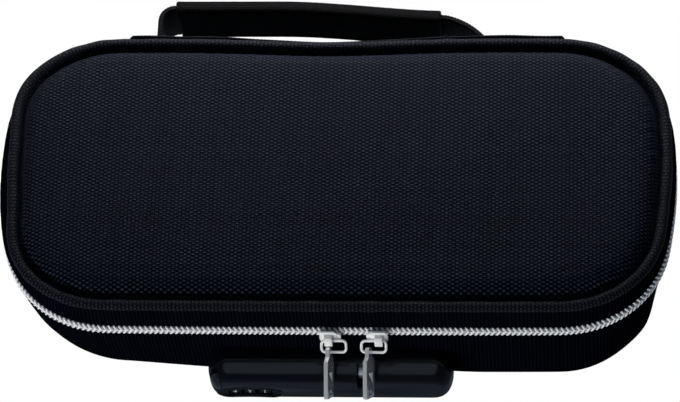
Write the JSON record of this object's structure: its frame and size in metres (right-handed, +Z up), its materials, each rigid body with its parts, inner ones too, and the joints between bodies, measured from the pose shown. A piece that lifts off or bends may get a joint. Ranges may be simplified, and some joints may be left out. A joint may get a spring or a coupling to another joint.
{
  "type": "lockable zip case",
  "caption": "Soft oblong zip case with a hinged lid, a webbing handle along the back, two sliders and a combination lock on its front wall",
  "frame": {"origin": "middle of the underside, where the case rests", "axes": "+X along the length to the right, +Y to the back where the spine and handle are, +Z up"},
  "size_m": [0.2514, 0.1663, 0.0605],
  "materials": {
    "cloth": "navy-black coarse basket-weave nylon",
    "binding": "black woven binding",
    "webbing": "black woven webbing",
    "lining": "plain black lining",
    "zip": "silver-coated coil",
    "slider": "bright plated die casting",
    "black_plastic": "satin black moulding",
    "gloss_plastic": "polished black moulding",
    "steel": "plated pressed steel",
    "brass": "turned brass"
  },
  "bodies": {
    "base": {"base_floor": "cloth", "base_wall": "cloth", "base_lining": "lining", "base_zip_row": "zip", "spine_base": "cloth", "handle_stub_left": "webbing", "handle_stub_right": "webbing", "lock_housing": "black_plastic", "lock_chassis": "steel", "dial_shaft": "steel", "detent_spring": "steel", "button_spring": "steel", "lock_back_plate": "steel", "lock_screw_1": "steel", "lock_screw_2": "steel", "lock_screw_3": "steel", "lock_screw_4": "steel"},
    "lid": {"spine_lid": "cloth", "lid_wall": "cloth", "lid_binding": "binding", "lid_panel": "cloth", "lid_lining": "lining", "lid_zip_row": "zip"},
    "handle": {"handle_strap": "webbing", "handle_grip": "webbing"},
    "slider_left": {"slider_left": "slider"},
    "ring_left": {"ring_left": "slider"},
    "pull_left": {"pull_left": "slider"},
    "slider_right": {"slider_right": "slider"},
    "ring_right": {"ring_right": "slider"},
    "pull_right": {"pull_right": "slider"},
    "dial_1": {"dial_1": "black_plastic", "dial_bush_1": "brass"},
    "dial_2": {"dial_2": "black_plastic", "dial_bush_2": "brass"},
    "dial_3": {"dial_3": "black_plastic", "dial_bush_3": "brass"},
    "release": {"release_button": "gloss_plastic"},
    "latch": {"latch_bar": "steel"},
    "reset": {"reset_button": "black_plastic"}
  },
  "joints": [
    {"name": "lid_hinge", "type": "hinge", "parent": "base", "child": "lid", "pos_m": [0, 0.0586, 0.0375], "axis": [-1, 0, 0], "range_deg": [0, 90]},
    {"name": "handle_swing", "type": "hinge", "parent": "base", "child": "handle", "pos_m": [0, 0.0585, 0.018], "axis": [1, 0, 0], "range_deg": [-15, 4]},
    {"name": "slider_left_slide", "type": "slide", "parent": "base", "child": "slider_left", "axis": [-1, 0, 0], "range_m": [0, 0.05]},
    {"name": "slider_right_slide", "type": "slide", "parent": "base", "child": "slider_right", "axis": [1, 0, 0], "range_m": [0, 0.038]},
    {"name": "ring_left_swing", "type": "hinge", "parent": "slider_left", "child": "ring_left", "pos_m": [0.0005, -0.0602, 0.0366], "axis": [-1, 0, 0], "range_deg": [0, 70]},
    {"name": "pull_left_swing", "type": "hinge", "parent": "ring_left", "child": "pull_left", "pos_m": [-0.00145, -0.06322, 0.033], "axis": [-1, 0, 0], "range_deg": [0, 60]},
    {"name": "ring_right_swing", "type": "hinge", "parent": "slider_right", "child": "ring_right", "pos_m": [0.0153, -0.0602, 0.0366], "axis": [-1, 0, 0], "range_deg": [0, 70]},
    {"name": "pull_right_swing", "type": "hinge", "parent": "ring_right", "child": "pull_right", "pos_m": [0.01335, -0.06322, 0.033], "axis": [-1, 0, 0], "range_deg": [0, 60]},
    {"name": "dial_1_turn", "type": "hinge", "parent": "base", "child": "dial_1", "pos_m": [-0.0381, -0.0639, 0.0085], "axis": [1, 0, 0], "continuous": true},
    {"name": "dial_2_turn", "type": "hinge", "parent": "base", "child": "dial_2", "pos_m": [-0.0325, -0.0639, 0.0085], "axis": [1, 0, 0], "continuous": true},
    {"name": "dial_3_turn", "type": "hinge", "parent": "base", "child": "dial_3", "pos_m": [-0.0269, -0.0639, 0.0085], "axis": [1, 0, 0], "continuous": true},
    {"name": "release_press", "type": "slide", "parent": "base", "child": "release", "axis": [0, 1, 0], "range_m": [0, 0.002], "stiffness_N_per_m": 600},
    {"name": "latch_slide", "type": "slide", "parent": "base", "child": "latch", "axis": [1, 0, 0], "range_m": [0, 0.002]},
    {"name": "reset_press", "type": "slide", "parent": "base", "child": "reset", "axis": [0, -1, 0], "range_m": [0, 0.001], "stiffness_N_per_m": 500}
  ],
  "couplings": [
    {"joint": "latch_slide", "follows": "release_press", "ratio": 1}
  ]
}
